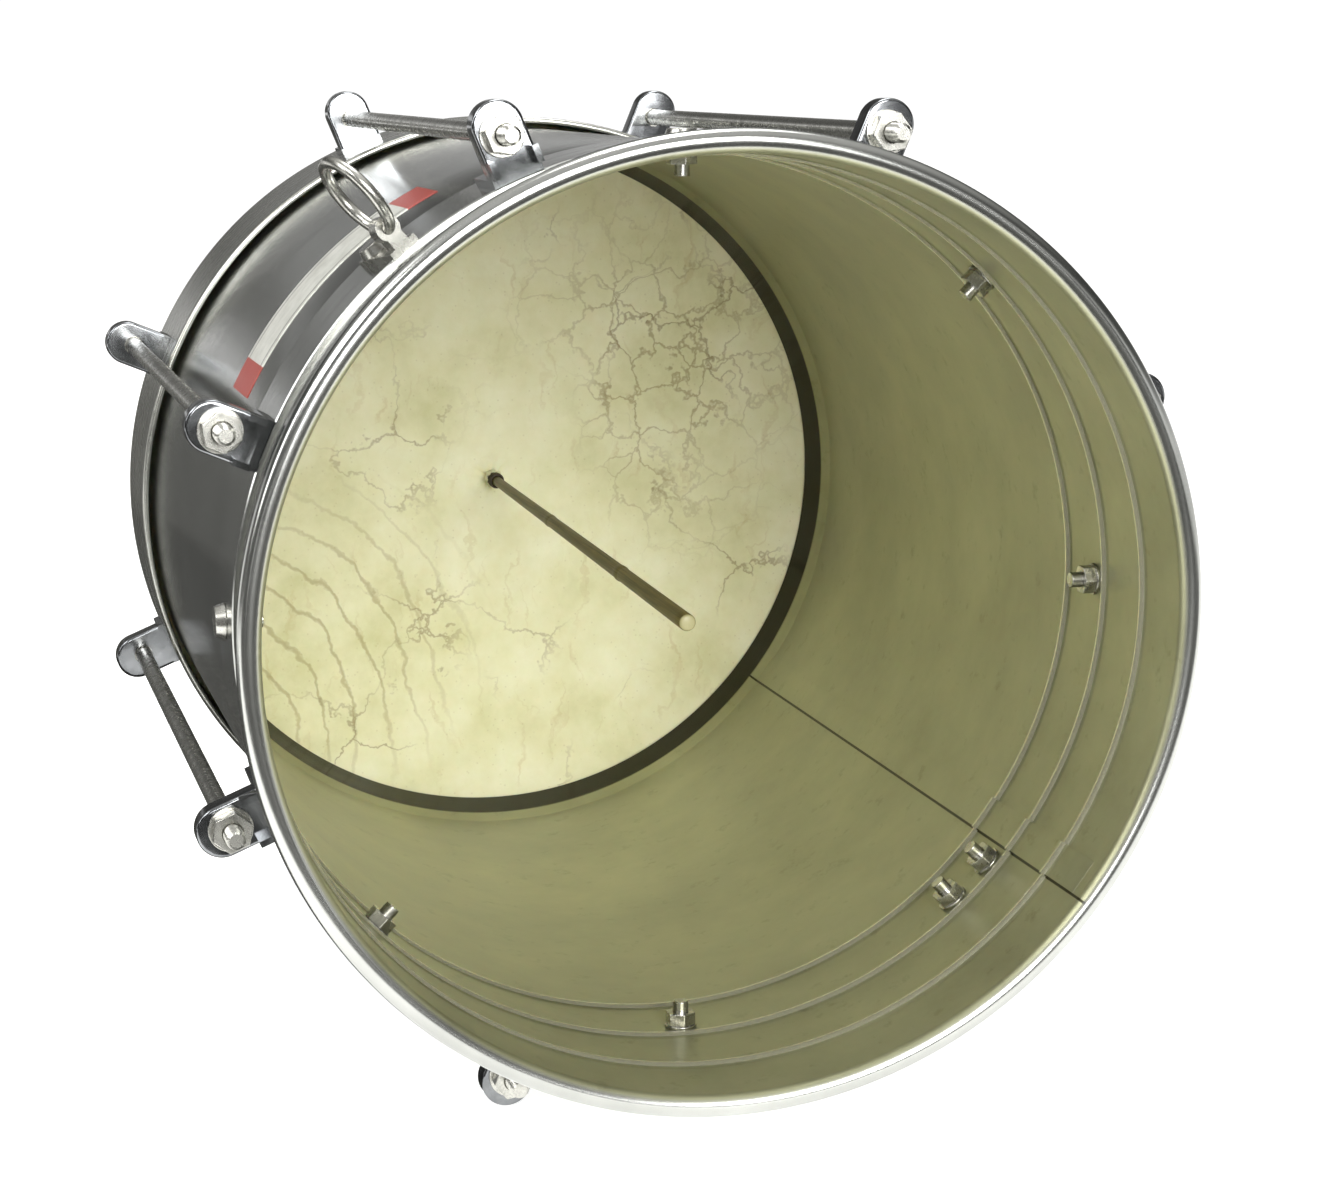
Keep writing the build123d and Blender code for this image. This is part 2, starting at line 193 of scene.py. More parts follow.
# %% [markdown]
# ## The hoop
# The counter hoop is a strip of thicker steel. Its edge towards the open end is rolled, and
# its head edge is cut flat and deburred. A lip inside it presses on the flesh hoop, which
# holds the skin. The edges matter here: a rolled edge gives the thin bright line that says
# "bent metal".

# %% Counter hoop
HOOP_INNER = 116.9 * MM
HOOP_SHEET = 1.2 * MM
HOOP_ROLL = 1.0 * MM
HOOP_EASE = 0.3 * MM
LIP_INNER = 114.8 * MM
hoop_start, hoop_end = station(hoop_low[1]), station(hoop_high[1])
roll_mid = HOOP_INNER + HOOP_SHEET / 2
LIP_SHEET = 1.5 * MM
lip_low = LENGTH - 3.0 * MM
hoop_outline = (
    arc((roll_mid, hoop_start + HOOP_ROLL), HOOP_ROLL, -235, 55, 14)
    + [(HOOP_INNER + HOOP_SHEET, hoop_end - HOOP_EASE)]
    + [(HOOP_INNER + HOOP_SHEET - HOOP_EASE, hoop_end), (HOOP_INNER + HOOP_EASE, hoop_end)]
    + [(HOOP_INNER, hoop_end - HOOP_EASE)]
    + [(HOOP_INNER, lip_low + LIP_SHEET), (LIP_INNER, lip_low + LIP_SHEET)]
    + [(LIP_INNER, lip_low), (HOOP_INNER, lip_low)]
)
hoop = finish_mesh("hoop_strip", lathe_mesh(hoop_outline, 256), sharp=40)
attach(hoop, "head")
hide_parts("counter_hoop")
print("hoop faces", len(hoop.data.polygons))

# %% [markdown]
# ## The lower band
# The band is a strip bent round the shell with a small gap where its ends meet. Its long edges
# are deburred, so they are rounded a little.

# %% Lower band
BAND_OUTER = 116.2 * MM
band_start, band_end = station(band_low[1]), station(band_high[1])
EASE = 0.35 * MM
BAND_GAP = 2.0 * MM
BAND_JOINT = 45.0
gap_angle = math.degrees(BAND_GAP / BAND_OUTER)
band_outline = [
    (OUTER_R, band_start), (BAND_OUTER - EASE, band_start), (BAND_OUTER, band_start + EASE),
    (BAND_OUTER, band_end - EASE), (BAND_OUTER - EASE, band_end), (OUTER_R, band_end),
]
band = finish_mesh(
    "band_strip",
    lathe_mesh(band_outline, 250, start=BAND_JOINT + gap_angle / 2, sweep=360 - gap_angle),
)
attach(band, "drum_shell")
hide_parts("lower_band")

# %% [markdown]
# ## Tension rods
# A tension rod is a steel bar with a rolled thread at one end and a hexagon head at the other.
# The thread is real geometry: its outline zigzags once for each 0.8 mm of pitch. The hexagon
# head starts as a cylinder of six sides, and its edges are eased by a small bevel.

# %% Threaded rods
PITCH = 0.8 * MM
THREAD_LENGTH = 30 * MM
THREAD_DEPTH = 0.42 * MM
CREST_WEAR = 0.04 * MM
ROD_R = 2.5 * MM
ROD_POINT = 0.8 * MM
ROD_HEAD_LENGTH = 4.5 * MM
ROD_HEAD_CORNER_R = 4.04 * MM
COLLAR_R = 4.54 * MM
COLLAR_THICK = 1.2 * MM


def rod_outline(low, high):
    """Outline of a threaded rod between two stations, closed on its axis at both ends."""
    thread = []
    for turn in range(int(THREAD_LENGTH / PITCH)):
        along = low + 0.5 * MM + turn * PITCH
        thread += [(ROD_R - THREAD_DEPTH, along), (ROD_R - CREST_WEAR, along + PITCH / 2)]
    smooth_start = thread[-1][1] + PITCH
    points = [(0.0, low), (ROD_R - ROD_POINT, low)] + thread
    return points + [(ROD_R, smooth_start), (ROD_R, high), (0.0, high)]


def box_centre(name):
    """Middle of a CAD node's box."""
    low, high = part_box(name)
    return (Vector(low) + Vector(high)) / 2


def hexagon(bm, centre, low, high, corner_r, turn):
    """Add a six-sided bar with eased ends along Y between two stations."""
    place = Matrix.Translation((centre.x, OPEN_Y + (low + high) / 2, centre.z))
    upright = Matrix.Rotation(math.radians(90), 4, "X")
    spin = Matrix.Rotation(turn, 4, "Z")
    made = bmesh.ops.create_cone(
        bm, cap_ends=True, segments=6, radius1=corner_r, radius2=corner_r,
        depth=high - low, matrix=place @ upright @ spin,
    )
    edges = {edge for vert in made["verts"] for edge in vert.link_edges}
    bmesh.ops.bevel(
        bm, geom=list(edges), offset=0.35 * MM, segments=3, profile=0.5, affect="EDGES",
        material=-1,
    )


for number in LUGS:
    name = f"tension_rod_{number}"
    low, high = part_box(name)
    centre = box_centre(name)
    start, end = station(low[1]), station(high[1])
    collar_end = end - ROD_HEAD_LENGTH
    collar_start = collar_end - COLLAR_THICK
    bm = lathe_mesh(rod_outline(start, collar_end), 20, centre=(centre.x, centre.z))
    collar = [
        (0.0, collar_start), (COLLAR_R - 0.34 * MM, collar_start),
        (COLLAR_R, collar_start + 0.3 * MM), (COLLAR_R, collar_end - 0.4 * MM),
        (COLLAR_R - 0.44 * MM, collar_end), (0.0, collar_end),
    ]
    collar_bm = lathe_mesh(collar, 28, centre=(centre.x, centre.z))
    hexagon(collar_bm, centre, collar_end, end, ROD_HEAD_CORNER_R, 0.3 * number)
    joined = bpy.data.meshes.new("collar")
    collar_bm.to_mesh(joined)
    collar_bm.free()
    bm.from_mesh(joined)
    rod = finish_mesh(f"rod_{number}", bm, sharp=30)
    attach(rod, "head")
    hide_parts(name)
print("rod faces", len(rod.data.polygons))

# %% [markdown]
# ## Parts that keep their CAD shape
# Brackets, ears, nuts, bolts and the strap ring already have the right shape, but a CAD edge
# is perfectly sharp, and no real edge is. Each one is copied, its loose triangles are merged,
# and a small bevel modifier gives every edge the thin highlight of deburred, plated steel.

# %% Eased copies of CAD nodes
def eased_copy(name, body, width, sharp=30.0):
    """Copy a CAD node, merge its triangles, ease edges if a width is given, and replace it."""
    bm = bmesh.new()
    bm.from_mesh(nodes[name].data)
    bmesh.ops.remove_doubles(bm, verts=bm.verts, dist=0.002 * MM)
    bmesh.ops.dissolve_limit(
        bm, angle_limit=math.radians(1.0), verts=bm.verts, edges=bm.edges,
        use_dissolve_boundaries=False, delimit=set(),
    )
    piece = finish_mesh(f"{name}_eased", bm, sharp=sharp)
    if width > 0.0:
        bevel = piece.modifiers.new("ease", "BEVEL")
        bevel.width = width
        bevel.segments = 2
        bevel.limit_method = "ANGLE"
        bevel.angle_limit = math.radians(40)
        bevel.harden_normals = True
    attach(piece, body)
    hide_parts(name)
    return piece


eased = {}
for number in LUGS:
    bracket, ear = f"lug_bracket_{number}", f"hoop_ear_{number}"
    nut = f"tension_nut_{number}"
    eased[bracket] = eased_copy(bracket, "drum_shell", 0.35 * MM)
    eased[ear] = eased_copy(ear, "head", 0.45 * MM)
    eased[nut] = eased_copy(nut, f"nut_{number}", 0.3 * MM)
for name in ("lug_rivets", "rod_washers", "band_bolts", "band_bolt_nuts", "band_bolt_washers"):
    eased[name] = eased_copy(name, "drum_shell", 0.2 * MM)
eased["ring_foot"] = eased_copy("ring_foot", "drum_shell", 0.25 * MM)
print("eased copies", len(eased))

# %% [markdown]
# ## The strap ring
# The ring keeps its CAD shape too. It is wire with no edges to ease, so its copy gets no
# bevel: the merged triangles are simply shaded smooth.

# %% Strap ring
ring = eased_copy("strap_ring", "ring", 0.0, sharp=60)

# %% [markdown]
# ## The goat skin
# A drum skin is soaked, lapped over a wooden or steel hoop and left to dry, so it is flat and
# tight in the middle and wrapped round the flesh hoop at its edge. It is spun from one closed
# outline, and every vertex is then moved a little by smooth noise: long shallow waves where
# the skin dried unevenly and small puckers round the stick, both fading to nothing at the edge.
# Cloth simulation would only make it slack, and a skin under tension isn't slack.

# %% Skin outline
SKIN_LOW = station(skin_low[1])
SKIN_HIGH = station(skin_high[1])
SKIN_EDGE = skin_high[0]
tuck_low, tuck_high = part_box("skin_tuck")
flesh_low, flesh_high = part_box("flesh_hoop")
FLESH_OUT = flesh_high[0]
FLESH_BOTTOM = station(flesh_low[1])
FLESH_TOP = station(flesh_high[1])
TUCK_BOTTOM = station(tuck_low[1])
TUCK = FLESH_BOTTOM - TUCK_BOTTOM
SKIN_GAP = 0.3 * MM
FLESH_IN = wall_radius(FLESH_BOTTOM, OUTER_R) + SKIN_GAP + TUCK
FOLD_STATION = LENGTH - 3.5 * MM
FOLD_R = wall_radius(FOLD_STATION, OUTER_R)

SKIN_RINGS = 56
radii = [SKIN_EDGE * (step / SKIN_RINGS) ** 0.9 for step in range(SKIN_RINGS + 1)]
underside = [(radius, SKIN_LOW) for radius in radii[:-1]]
topside = [(radius, SKIN_HIGH) for radius in radii[:-1]]
fold_out = [
    (SKIN_EDGE - 0.1 * MM, SKIN_LOW - 0.1 * MM), (FOLD_R + SKIN_GAP, FOLD_STATION),
    (FLESH_IN - TUCK, FLESH_BOTTOM + 0.5 * MM), (FLESH_IN - TUCK, TUCK_BOTTOM + 0.2 * MM),
    (FLESH_IN - 0.3 * MM, TUCK_BOTTOM), (FLESH_OUT, TUCK_BOTTOM),
    (FLESH_OUT + TUCK, FLESH_BOTTOM), (FLESH_OUT + TUCK, FLESH_TOP - 1.0 * MM),
    (FLESH_OUT, FLESH_TOP - 1.0 * MM), (FLESH_OUT, FLESH_BOTTOM), (FLESH_IN, FLESH_BOTTOM),
    (FLESH_IN, FLESH_TOP), (SKIN_EDGE + 1.6 * MM, SKIN_LOW - 0.9 * MM),
    (SKIN_EDGE + 0.6 * MM, SKIN_HIGH - 0.4 * MM), (SKIN_EDGE - 0.2 * MM, SKIN_HIGH),
]
skin_outline = underside + fold_out + topside[::-1]
skin_bm = lathe_mesh(skin_outline, 240)
print("skin vertices", len(skin_bm.verts))

# %% Waves, puckers and pleats in the skin
WAVE_HEIGHT = 0.28 * MM
WAVE_SIZE = 34 * MM
CREASE_DEPTH = 0.16 * MM
PUCKER_HEIGHT = 0.3 * MM
PUCKER_REACH = 7 * MM
PUCKERS = 9
CALM_EDGE = 14 * MM


def skin_lift(x, z):
    """How far the skin stands along the axis at a place, in metres."""
    radius = math.hypot(x, z)
    angle = math.atan2(x, -z)
    calm = min(1.0, max(0.0, (SKIN_EDGE - radius) / CALM_EDGE))
    wave = noise.noise(Vector((x / WAVE_SIZE, z / WAVE_SIZE, 4.2)))
    crease = abs(noise.noise(Vector((x / (13 * MM), z / (21 * MM), 9.7))))
    near = math.exp(-((radius / PUCKER_REACH) ** 2))
    wander = 2 * noise.noise(Vector((x, z, 0)) / MM)
    pucker = near * (0.5 + 0.5 * math.cos(PUCKERS * angle + wander))
    waves = WAVE_HEIGHT * wave - CREASE_DEPTH * (1 - crease) ** 6
    return calm * waves + PUCKER_HEIGHT * pucker


for vert in skin_bm.verts:
    x, z = vert.co.x, vert.co.z - AXIS_Z
    vert.co.y += skin_lift(x, z)
skin = finish_mesh("goat_skin_head", skin_bm, sharp=70)
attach(skin, "head")
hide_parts("skin", "skin_tuck")
print("skin faces", len(skin.data.polygons))

# %% [markdown]
# ## The bamboo stick and its binding
# The stick is a thin bamboo skewer, thicker at its free end. Bamboo swells a little at each
# node, and the grain runs straight along it. It is tied to the skin with waxed thread, wound
# side by side, over a small pinch of skin. Its weight makes it droop a degree at rest, so it is
# turned on the axis first and then tilted about the knot.

# %% Stick
stick_low, stick_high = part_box("stick")
STICK_TIP = station(stick_low[1])
STICK_TOP = station(stick_high[1])
TIP_R = 2.4 * MM
TOP_R = 1.7 * MM
STICK_DROOP, STICK_LEAN = math.radians(1.0), math.radians(0.3)
knot_low, knot_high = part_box("stick_knot")
KNOT_LOW, KNOT_HIGH = station(knot_low[1]), station(knot_high[1])
KNOT_CENTRE = Vector((0, OPEN_Y + (KNOT_LOW + KNOT_HIGH) / 2, AXIS_Z))
stick_way = Vector((-math.sin(STICK_LEAN), -1, -math.sin(STICK_DROOP)))
TILT = Vector((0, -1, 0)).rotation_difference(stick_way).to_matrix()
STICK_NODES = [(70 * MM, 0.22 * MM), (158 * MM, 0.16 * MM)]


def stick_radius(along):
    """Radius of the stick at a distance from its free end."""
    share = along / (STICK_TOP - STICK_TIP)
    radius = TIP_R - 0.15 * MM + (TOP_R - TIP_R) * share
    for place, swell in STICK_NODES:
        radius += swell * math.exp(-(((along - place) / (2.2 * MM)) ** 2))
        radius -= 0.1 * MM * math.exp(-(((along - place + 2.5 * MM) / (0.7 * MM)) ** 2))
    return radius


stick_steps = sorted(
    {0.9 * MM + step * 4.7 * MM for step in range(51)}
    | {place + step * 0.7 * MM for place, _ in STICK_NODES for step in range(-9, 10)}
)
stick_steps = [along for along in stick_steps if along < STICK_TOP - STICK_TIP - 0.5 * MM]
stick_outline = [(0.0, STICK_TIP), (TIP_R - 0.9 * MM, STICK_TIP)]
stick_outline += [(TIP_R - 0.35 * MM, STICK_TIP + 0.3 * MM)]
stick_outline += [(stick_radius(along), STICK_TIP + along) for along in stick_steps]
stick_outline += [(TOP_R, STICK_TOP), (0.0, STICK_TOP)]
stick_bm = lathe_mesh(stick_outline, 24)
for vert in stick_bm.verts:
    along = station(vert.co.y) - STICK_TIP
    bow = 0.5 * MM * math.sin(math.pi * along / (STICK_TOP - STICK_TIP))
    vert.co.x += bow
    vert.co.z -= 0.6 * bow
bmesh.ops.rotate(stick_bm, cent=KNOT_CENTRE, matrix=TILT, verts=stick_bm.verts)
stick = finish_mesh("bamboo_stick", stick_bm, sharp=50)
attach(stick, "stick")
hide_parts("stick")
print("stick faces", len(stick.data.polygons))

# %% Pinch of skin under the binding
KNOT_R = (knot_high[0] - knot_low[0]) / 2
pinch = bmesh.new()
bmesh.ops.create_uvsphere(
    pinch, u_segments=32, v_segments=20, radius=KNOT_R,
    matrix=Matrix.Translation(KNOT_CENTRE)
    @ Matrix.Rotation(math.radians(90), 4, "X"),
)
for vert in pinch.verts:
    offset = vert.co - KNOT_CENTRE
    fold = math.cos(8 * math.atan2(offset.x, -offset.z))
    pull = math.hypot(offset.x, offset.z) / KNOT_R
    vert.co.x -= offset.x * 0.09 * (1 - fold) * pull
    vert.co.z -= offset.z * 0.09 * (1 - fold) * pull
pinch = finish_mesh("skin_pinch", pinch, sharp=80)
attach(pinch, "knot")
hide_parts("stick_knot")

# %% Thread binding
THREAD_R = 0.38 * MM
TURNS = 8
binding = bmesh.new()
for turn in range(TURNS):
    along = KNOT_LOW - 2.6 * MM + turn * 1.75 * THREAD_R
    loop_r = TOP_R + THREAD_R * (0.9 + 0.35 * math.sin(turn * 2.1))
    loop = lathe_mesh(arc((loop_r, along), THREAD_R, 0, 330, 11), 28)
    loop_mesh = bpy.data.meshes.new("loop")
    loop.to_mesh(loop_mesh)
    loop.free()
    binding.from_mesh(loop_mesh)
bmesh.ops.rotate(binding, cent=KNOT_CENTRE, matrix=TILT, verts=binding.verts)
binding = finish_mesh("thread_binding", binding, sharp=80)
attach(binding, "stick")
print("binding faces", len(binding.data.polygons))

# %% [markdown]
# ## Materials
# Every material starts from its real finish. Colours are written as sRGB hex, as a paint chip
# is, and one function turns them to the linear numbers that light needs. A second small
# function adds a node, sets it and links it, and three more cover the nodes that come up most:
# arithmetic, a change of range and a blend of two colours.

# %% Colour and node helpers
def linear(code):
    """Linear RGBA of an sRGB hex colour."""
    shares = [int(code[place:place + 2], 16) / 255 for place in (1, 3, 5)]
    curve = [c / 12.92 if c <= 0.04045 else ((c + 0.055) / 1.055) ** 2.4 for c in shares]
    return (*curve, 1.0)


def add(tree, kind, inputs=None, stops=None, **settings):
    """Add a node with its settings; inputs hold values, hex colours or sockets to link."""
    made = tree.nodes.new(kind)
    for name, value in settings.items():
        setattr(made, name, value)
    for place, (position, colour) in enumerate(stops or []):
        ramp = made.color_ramp.elements
        element = ramp[place] if place < 2 else ramp.new(position)
        element.position = position
        element.color = linear(colour)
    for socket, value in (inputs or {}).items():
        if isinstance(value, bpy.types.NodeSocket):
            tree.links.new(value, made.inputs[socket])
        elif isinstance(value, str):
            made.inputs[socket].default_value = linear(value)
        else:
            made.inputs[socket].default_value = value
    return made


def maths(tree, operation, *values):
    """Result of one arithmetic step on sockets or numbers."""
    made = add(tree, "ShaderNodeMath", dict(enumerate(values)), operation=operation)
    return made.outputs[0]


def remap(tree, value, source, target=(0.0, 1.0)):
    """A value carried from one range to another and held at its ends."""
    return add(tree, "ShaderNodeMapRange", {
        "Value": value, "From Min": source[0], "From Max": source[1],
        "To Min": target[0], "To Max": target[1]}).outputs[0]


def blend(tree, share, under, over):
    """Blend of two colours; a mix node takes colours at sockets 6 and 7 and gives one at 2."""
    made = add(tree, "ShaderNodeMix", {0: share, 6: under, 7: over}, data_type="RGBA")
    return made.outputs[2]


def new_material(name):
    """An empty material: its tree, its shader and its Object coordinates."""
    made = bpy.data.materials.new(name)
    made.use_nodes = True
    tree = made.node_tree
    tree.nodes.clear()
    shader = add(tree, "ShaderNodeBsdfPrincipled")
    add(tree, "ShaderNodeOutputMaterial", {"Surface": shader.outputs["BSDF"]})
    place = add(tree, "ShaderNodeTexCoord").outputs["Object"]
    return made, tree, shader, place


def wear(piece, material):
    """Give a piece one material in every slot."""
    piece.data.materials.clear()
    piece.data.materials.append(material)


def round_place(tree, place):
    """Coordinates that follow the drum: arc length, station and radius, in metres."""
    apart = add(tree, "ShaderNodeSeparateXYZ", {0: place}).outputs
    height = maths(tree, "SUBTRACT", apart["Z"], AXIS_Z)
    down = maths(tree, "MULTIPLY", height, -1.0)
    turn = maths(tree, "ARCTAN2", apart["X"], down)
    length = maths(tree, "MULTIPLY", turn, OUTER_R)
    across = add(tree, "ShaderNodeCombineXYZ", {"X": apart["X"], "Y": height}).outputs[0]
    radius = add(tree, "ShaderNodeVectorMath", {0: across}, operation="LENGTH").outputs["Value"]
    along = maths(tree, "SUBTRACT", apart["Y"], OPEN_Y)
    joined = add(tree, "ShaderNodeCombineXYZ", {"X": length, "Y": along, "Z": radius}).outputs[0]
    return {"length": length, "along": along, "radius": radius, "vector": joined}


# %% [markdown]
# ### Polished sheet steel
# Cold-rolled sheet is polished with a belt while it turns, so its fine lines run round the
# drum. The eye reads that as streaks that are long one way and sharp the other. Inside, the
# sheet keeps its dull mill finish with a film of old wax, which looks warm and olive beside
# the bright outside. The beading rollers leave the ridges they press burnished and glossy, and
# a paler colour painted along them is a painted highlight.
# The inside is told from the outside by the normal, which points at the axis. Polishing lines
# are a few microns wide, too fine to show, so they are drawn at 0.5 mm.

# %% Polished steel
steel, tree, shader, place = new_material("belt_polished_sheet_steel")
drum = round_place(tree, place)
normal = add(tree, "ShaderNodeNewGeometry").outputs["Normal"]
from_axis = add(tree, "ShaderNodeVectorMath", {0: place, 1: (0, 0, AXIS_Z)}, operation="SUBTRACT")
flat_out = add(tree, "ShaderNodeVectorMath", {0: from_axis.outputs[0], 1: (1, 0, 1)},
               operation="MULTIPLY").outputs[0]
facing = add(tree, "ShaderNodeVectorMath", {0: normal, 1: flat_out}, operation="DOT_PRODUCT")
inward = remap(tree, facing.outputs["Value"], (0.01, -0.04))
in_walls = remap(tree, drum["radius"], (OUTER_R + 0.8 * MM, OUTER_R - 0.2 * MM))
inside = maths(tree, "MULTIPLY", inward, in_walls)
line_place = add(tree, "ShaderNodeVectorMath", {
    0: drum["vector"], 1: (10.0, 1 / (0.5 * MM), 0.0)}, operation="MULTIPLY").outputs[0]
lines = add(tree, "ShaderNodeTexNoise", {
    "Vector": line_place, "Scale": 1.0, "Detail": 3.0, "Roughness": 0.6}).outputs[0]
smudge = add(tree, "ShaderNodeTexNoise", {
    "Vector": place, "Scale": 1 / (45 * MM), "Detail": 5.0, "Roughness": 0.6}).outputs[0]
grime = add(tree, "ShaderNodeTexNoise", {
    "Vector": place, "Scale": 1 / (7 * MM), "Detail": 6.0, "Roughness": 0.7}).outputs[0]
bright = add(tree, "ShaderNodeValToRGB", {0: smudge}, stops=[
    (0.3, "#A9AAA6"), (0.7, "#C2C3BF")]).outputs[0]
dull = add(tree, "ShaderNodeValToRGB", {0: smudge}, stops=[
    (0.28, "#949478"), (0.72, "#B3B392")]).outputs[0]
# The dark line along the lap's edge is painted shade, standing in for the shade of its small
# step.
lap_shade_line = maths(tree, "COMPARE", drum["length"], math.radians(LAP_START) * OUTER_R, SEAM_LINE)
turned_in = remap(tree, drum["along"], (CONE_START + 3.0 * MM, CONE_START + 3.6 * MM))
# Bead ridges: a glossier band, with a paler colour along it that is a painted highlight.
bead_gloss_and_highlight = None
for bead in BEADS:
    ridge_band = maths(tree, "COMPARE", drum["along"], bead, 1.7 * MM)
    bead_gloss_and_highlight = ridge_band if bead_gloss_and_highlight is None else maths(tree, "MAXIMUM", bead_gloss_and_highlight, ridge_band)
shiny = maths(tree, "MAXIMUM", bead_gloss_and_highlight, turned_in)
spots = remap(tree, grime, (0.58, 0.75), (0.0, 0.45))
spotted = blend(tree, spots, dull, "#66654A")
# Painted shade along the lap's edge.
lap_shaded = blend(tree, lap_shade_line, spotted, "#3A3828")
# Painted highlight: a paler colour along the bead ridges.
bead_painted_highlight = blend(tree, bead_gloss_and_highlight, lap_shaded, "#D3D1BC")
# The turned-in bearing edge is painted near black, a painted dark reflection; it is also made
# fully metallic and glossy.
edge_painted_dark = blend(tree, turned_in, bead_painted_highlight, "#35342B")
colour = blend(tree, inside, bright, edge_painted_dark)
gloss = remap(tree, lines, (0.0, 1.0), (0.12, 0.30))
mill = remap(tree, smudge, (0.0, 1.0), (0.30, 0.46))
buffed = add(tree, "ShaderNodeMix", {0: shiny, 2: mill, 3: gloss}).outputs[0]
rough = add(tree, "ShaderNodeMix", {0: inside, 2: gloss, 3: buffed}).outputs[0]
waxed = add(
    tree, "ShaderNodeMath", {0: inside, 1: turned_in}, operation="SUBTRACT", use_clamp=True)
film = remap(tree, waxed.outputs[0], (0.0, 1.0), (1.0, 0.75))
ridge = add(tree, "ShaderNodeBump", {"Height": lines, "Strength": 0.12, "Distance": 0.03 * MM})
tree.links.new(colour, shader.inputs["Base Color"])
tree.links.new(rough, shader.inputs["Roughness"])
tree.links.new(ridge.outputs[0], shader.inputs["Normal"])
tree.links.new(film, shader.inputs["Metallic"])
for piece in (shell, lap, band):
    wear(piece, steel)

# %% [markdown]
# ### Chromed brackets and ears
# Decorative chrome on pressed steel is nearly a mirror, with a faint orange-peel left by the
# plating bath, and it dulls where hands have been. It gives the eye small hard highlights and
# dark reflections right beside them.

# %% Chrome
chrome, tree, shader, place = new_material("decorative_chrome_plate")
peel = add(tree, "ShaderNodeTexNoise", {
    "Vector": place, "Scale": 1 / (1.6 * MM), "Detail": 2.0}).outputs[0]
touch = add(tree, "ShaderNodeTexNoise", {
    "Vector": place, "Scale": 1 / (12 * MM), "Detail": 6.0, "Roughness": 0.65}).outputs[0]
tint = add(tree, "ShaderNodeValToRGB", {0: touch}, stops=[
    (0.35, "#66686A"), (0.65, "#949698")]).outputs[0]
gloss = remap(tree, touch, (0.0, 1.0), (0.06, 0.24))
skin_of_plate = add(
    tree, "ShaderNodeBump", {"Height": peel, "Strength": 0.06, "Distance": 0.05 * MM})
tree.links.new(tint, shader.inputs["Base Color"])
tree.links.new(gloss, shader.inputs["Roughness"])
tree.links.new(skin_of_plate.outputs[0], shader.inputs["Normal"])
shader.inputs["Metallic"].default_value = 1.0
for name, piece in eased.items():
    if "bracket" in name or "ear" in name:
        wear(piece, chrome)

# %% [markdown]
# ### Buffed hoop
# The hoop is buffed and not plated, so it is paler and softer than the fittings beside it, and
# its fine lines run round the drum.

# %% Hoop steel
hoop_steel, tree, shader, place = new_material("buffed_hoop_steel")
drum = round_place(tree, place)
line_place = add(tree, "ShaderNodeVectorMath", {
    0: drum["vector"], 1: (8.0, 1 / (0.8 * MM), 0.0)}, operation="MULTIPLY").outputs[0]
lines = add(tree, "ShaderNodeTexNoise", {
    "Vector": line_place, "Scale": 1.0, "Detail": 3.0}).outputs[0]
touch = add(tree, "ShaderNodeTexNoise", {
    "Vector": place, "Scale": 1 / (25 * MM), "Detail": 6.0, "Roughness": 0.65}).outputs[0]
tint = add(tree, "ShaderNodeValToRGB", {0: touch}, stops=[
    (0.35, "#B9B9B2"), (0.65, "#CFCFC8")]).outputs[0]
gloss = remap(tree, lines, (0.0, 1.0), (0.18, 0.34))
ridge = add(tree, "ShaderNodeBump", {"Height": lines, "Strength": 0.12, "Distance": 0.03 * MM})
tree.links.new(tint, shader.inputs["Base Color"])
tree.links.new(gloss, shader.inputs["Roughness"])
tree.links.new(ridge.outputs[0], shader.inputs["Normal"])
shader.inputs["Metallic"].default_value = 1.0
wear(hoop, hoop_steel)
wear(nodes["flesh_hoop"], hoop_steel)

# %% [markdown]
# ### Zinc-plated hardware
# Nuts, rods and bolts are bright zinc: paler and softer than chrome, slightly mottled, with
# dull grey patches where a spanner has been.

# %% Bright zinc
zinc, tree, shader, place = new_material("bright_zinc_plate")
mottle = add(tree, "ShaderNodeTexVoronoi", {"Vector": place, "Scale": 1 / (1.4 * MM)}).outputs[0]
touch = add(tree, "ShaderNodeTexNoise", {
    "Vector": place, "Scale": 1 / (5 * MM), "Detail": 6.0, "Roughness": 0.7}).outputs[0]
tint = add(tree, "ShaderNodeValToRGB", {0: touch}, stops=[
    (0.32, "#9C9B94"), (0.62, "#D2D1CA")]).outputs[0]
gloss = remap(tree, touch, (0.0, 1.0), (0.38, 0.16))
grain = add(tree, "ShaderNodeBump", {"Height": mottle, "Strength": 0.08, "Distance": 0.05 * MM})
tree.links.new(tint, shader.inputs["Base Color"])
tree.links.new(gloss, shader.inputs["Roughness"])
tree.links.new(grain.outputs[0], shader.inputs["Normal"])
shader.inputs["Metallic"].default_value = 1.0
zinc_names = [name for name in eased if "bracket" not in name and "ear" not in name]
for name in zinc_names:
    wear(eased[name], zinc)
wear(ring, zinc)
for number in LUGS:
    wear(bpy.data.objects[f"rod_{number}"], zinc)
print("zinc pieces", len(zinc_names) + 9)

# %% [markdown]
# ### Goat skin
# A natural skin is scraped, not printed, so it shows where the animal's veins ran, pores in
# small groups, dry creases and warm cloudy patches. It is slightly translucent. The veins are
# the edges of large warped cells, and a slow noise hides most of them, so that only parts of
# a branching line are left. Dry cracks gather where the hide was thinnest, high on one side,
# and long curved creases run where it was stretched, low on the other.

